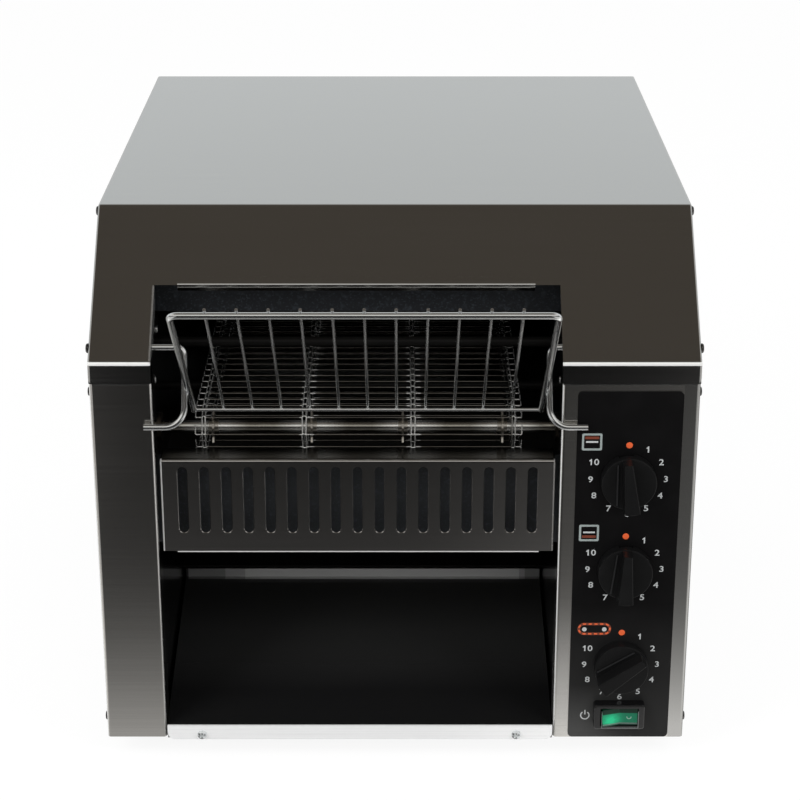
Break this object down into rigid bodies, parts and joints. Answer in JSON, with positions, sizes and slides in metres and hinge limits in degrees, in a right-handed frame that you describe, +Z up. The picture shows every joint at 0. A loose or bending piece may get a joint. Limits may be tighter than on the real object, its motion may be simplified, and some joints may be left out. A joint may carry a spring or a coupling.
{
  "type": "conveyor toaster",
  "caption": "Countertop conveyor toaster with a wire feed rack, mesh belt, slotted guard, sloping toast tray, dial controls and a lit rocker switch.",
  "frame": {"origin": "on the table, under the middle of the toaster's box", "axes": "+Z up, front with the feed rack faces -Y, controls at +X"},
  "size_m": [0.375, 0.532, 0.3478],
  "materials": {
    "hood_steel": "satin brushed stainless sheet",
    "brushed_steel": "brushed stainless sheet, horizontal grain",
    "inner_steel": "plain mill-finish sheet",
    "light_steel": "light satin sheet",
    "wall_steel": "bright annealed sheet",
    "tray_steel": "polished sheet",
    "guard_steel": "satin sheet, heat darkened",
    "speckled_steel": "aluminised sheet with fine speckle",
    "belt_wire": "drawn stainless wire",
    "shaft_steel": "ground steel bar",
    "wheel_steel": "sintered steel",
    "bush_bronze": "oil-filled bronze",
    "element_sheath": "oxidised heating element sheath",
    "insulator_ceramic": "unglazed steatite",
    "busbar_brass": "plain strip",
    "sprocket_steel": "machined steel",
    "chain_steel": "oiled steel",
    "motor_zinc": "cast and plated motor case",
    "moulded_black": "moulded black plastic",
    "overlay_black": "smooth black printed film",
    "knob_black": "moulded satin black",
    "switch_black": "moulded black bezel",
    "rocker_green": "translucent green, lit",
    "terminal_white": "moulded white nylon",
    "gland_black": "moulded black nylon",
    "rack_chrome": "bright plated wire",
    "foot_rubber": "black rubber",
    "screw_steel": "bright plated screws and rivets"
  },
  "bodies": {
    "toaster": {"hood": "hood_steel", "left_column": "brushed_steel", "right_column": "brushed_steel", "left_side_panel": "brushed_steel", "right_side_panel": "brushed_steel", "base_plate": "inner_steel", "front_lip": "light_steel", "rear_panel": "brushed_steel", "left_chamber_wall": "wall_steel", "right_chamber_wall": "wall_steel", "toast_tray": "tray_steel", "toast_chute": "tray_steel", "slotted_guard": "guard_steel", "front_heat_shield": "speckled_steel", "front_baffle": "speckled_steel", "upper_reflector": "inner_steel", "lower_reflector": "inner_steel", "belt_upper_run": "belt_wire", "belt_lower_run": "belt_wire", "belt_nose": "belt_wire", "belt_tail": "belt_wire", "shaft_bushes": "bush_bronze", "upper_elements": "element_sheath", "lower_elements": "element_sheath", "element_insulators": "insulator_ceramic", "busbars": "busbar_brass", "drive_chain": "chain_steel", "gear_motor": "motor_zinc", "motor_bracket": "inner_steel", "fan_frame": "moulded_black", "control_overlay": "overlay_black", "switch_body": "switch_black", "terminal_block": "terminal_white", "cable_gland": "gland_black", "rubber_feet": "foot_rubber", "foot_screws": "screw_steel", "side_screws": "screw_steel", "lip_screws": "screw_steel", "rear_screws": "screw_steel", "wall_rivets": "screw_steel", "upper_heat_regulator": "moulded_black", "lower_heat_regulator": "moulded_black", "belt_speed_regulator": "moulded_black"},
    "rack": {"wire_rack": "rack_chrome"},
    "upper_heat_control": {"upper_heat_knob": "knob_black", "upper_heat_spindle": "shaft_steel"},
    "lower_heat_control": {"lower_heat_knob": "knob_black", "lower_heat_spindle": "shaft_steel"},
    "belt_speed_control": {"belt_speed_knob": "knob_black", "belt_speed_spindle": "shaft_steel"},
    "rocker": {"power_rocker": "rocker_green"},
    "front_roller": {"front_shaft": "shaft_steel", "front_belt_wheels": "wheel_steel"},
    "rear_roller": {"rear_drive_shaft": "shaft_steel", "rear_belt_wheels": "wheel_steel", "drive_sprocket": "sprocket_steel"},
    "motor_output": {"motor_shaft": "shaft_steel", "motor_sprocket": "sprocket_steel"},
    "fan": {"fan_rotor": "moulded_black"}
  },
  "joints": [
    {"name": "rack_swing", "type": "hinge", "parent": "toaster", "child": "rack", "pos_m": [-0.0162, -0.172, 0.277], "axis": [-1, 0, 0], "range_deg": [0, 70]},
    {"name": "upper_heat_turn", "type": "hinge", "parent": "toaster", "child": "upper_heat_control", "pos_m": [0.1444, -0.1859, 0.1954], "axis": [0, 1, 0], "range_deg": [0, 300]},
    {"name": "lower_heat_turn", "type": "hinge", "parent": "toaster", "child": "lower_heat_control", "pos_m": [0.1444, -0.1859, 0.1341], "axis": [0, 1, 0], "range_deg": [-6, 294]},
    {"name": "belt_speed_turn", "type": "hinge", "parent": "toaster", "child": "belt_speed_control", "pos_m": [0.1444, -0.1859, 0.067], "axis": [0, 1, 0], "range_deg": [-60, 240]},
    {"name": "power_tip", "type": "hinge", "parent": "toaster", "child": "rocker", "pos_m": [0.1443, -0.1886, 0.03245], "axis": [0, 0, 1], "range_deg": [-14, 0]},
    {"name": "rear_roller_spin", "type": "hinge", "parent": "toaster", "child": "rear_roller", "pos_m": [-0.022, 0.177, 0.214], "axis": [1, 0, 0], "continuous": true},
    {"name": "front_roller_spin", "type": "hinge", "parent": "toaster", "child": "front_roller", "pos_m": [-0.022, -0.144, 0.214], "axis": [1, 0, 0], "continuous": true},
    {"name": "motor_spin", "type": "hinge", "parent": "toaster", "child": "motor_output", "pos_m": [0.1105, 0.114, 0.126], "axis": [1, 0, 0], "continuous": true},
    {"name": "fan_spin", "type": "hinge", "parent": "toaster", "child": "fan", "pos_m": [0.144, 0.2378, 0.132], "axis": [0, 1, 0], "continuous": true}
  ],
  "couplings": [
    {"joint": "front_roller_spin", "follows": "rear_roller_spin", "ratio": 1},
    {"joint": "motor_spin", "follows": "rear_roller_spin", "ratio": 1.25}
  ]
}
